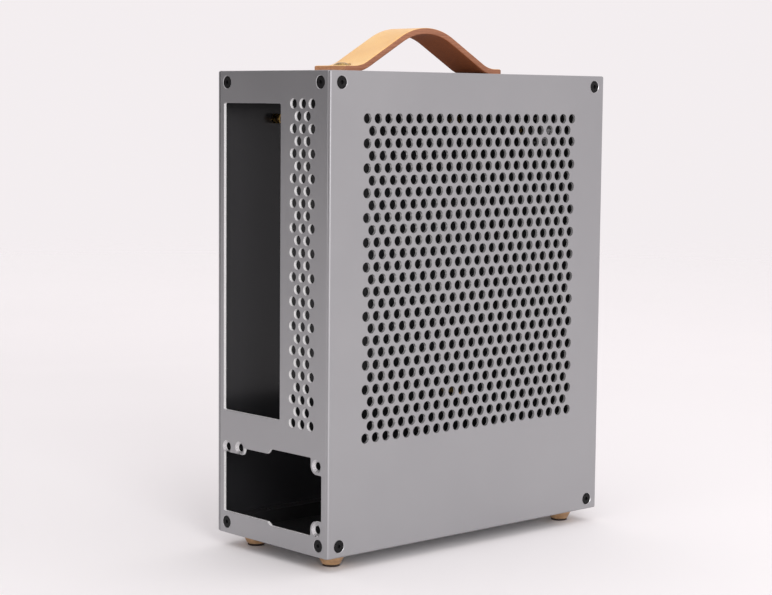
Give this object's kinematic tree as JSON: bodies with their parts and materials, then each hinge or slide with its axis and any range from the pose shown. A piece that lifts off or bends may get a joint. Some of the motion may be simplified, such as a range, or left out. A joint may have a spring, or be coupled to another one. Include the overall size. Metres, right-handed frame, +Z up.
{
  "type": "desktop computer tower",
  "caption": "Empty compact computer tower of flat aluminium panels with round vent holes, rear board and power openings, leather carrying strap, sprung power button and cone feet.",
  "frame": {"origin": "on the standing surface, under the middle of the body", "axes": "+Z up; -Y is the front with the power button, +Y the rear with the board and power supply openings; -X is the vented side, +X the plain side that carries the board tray"},
  "size_m": [0.0886, 0.1994, 0.2709],
  "materials": {
    "anodised_panel": "bead-blasted, satin silver-grey anodised; cut edges bright",
    "black_tray": "gloss black coat",
    "black_rail": "satin black anodised",
    "black_screw": "black oxide steel",
    "brass": "turned, lightly worn",
    "zinc_steel": "zinc plated",
    "spring_steel": "drawn",
    "strap_leather": "vegetable tanned, raw cut edges",
    "foot_wood": "turned and oiled",
    "rubber_pad": "matt",
    "button_metal": "turned, satin anodised",
    "switch_plastic": "moulded"
  },
  "bodies": {
    "case": {"rear_panel": "anodised_panel", "front_panel": "anodised_panel", "top_panel": "anodised_panel", "bottom_panel": "anodised_panel", "vented_side_panel": "anodised_panel", "plain_side_panel": "anodised_panel", "motherboard_tray": "black_tray", "board_standoffs": "brass", "lower_left_rail": "black_rail", "upper_left_rail": "black_rail", "lower_right_rail": "black_rail", "upper_right_rail": "black_rail", "rear_panel_screws": "black_screw", "front_panel_screws": "black_screw", "vented_side_screws": "black_screw", "plain_side_screws": "black_screw", "top_panel_screws": "black_screw", "bottom_panel_screws": "black_screw", "handle_strap": "strap_leather", "strap_screws": "brass", "strap_washers": "zinc_steel", "strap_nuts": "zinc_steel", "foot_front_left": "foot_wood", "pad_front_left": "rubber_pad", "foot_front_right": "foot_wood", "pad_front_right": "rubber_pad", "foot_rear_left": "foot_wood", "pad_rear_left": "rubber_pad", "foot_rear_right": "foot_wood", "pad_rear_right": "rubber_pad", "foot_screws": "zinc_steel", "foot_nuts": "zinc_steel", "button_bezel": "button_metal", "button_gasket": "rubber_pad", "button_nut": "button_metal", "button_spring": "spring_steel", "switch_housing": "switch_plastic", "switch_terminals": "brass", "contact_dome": "spring_steel"},
    "button": {"button_cap": "button_metal", "button_stem": "switch_plastic", "button_clip": "spring_steel"}
  },
  "joints": [
    {"name": "power_button_press", "type": "slide", "parent": "case", "child": "button", "axis": [0, 1, 0], "range_m": [0, 0.0015], "stiffness_N_per_m": 700, "springref_m": -0.0015, "deforming": ["button_spring"]}
  ]
}
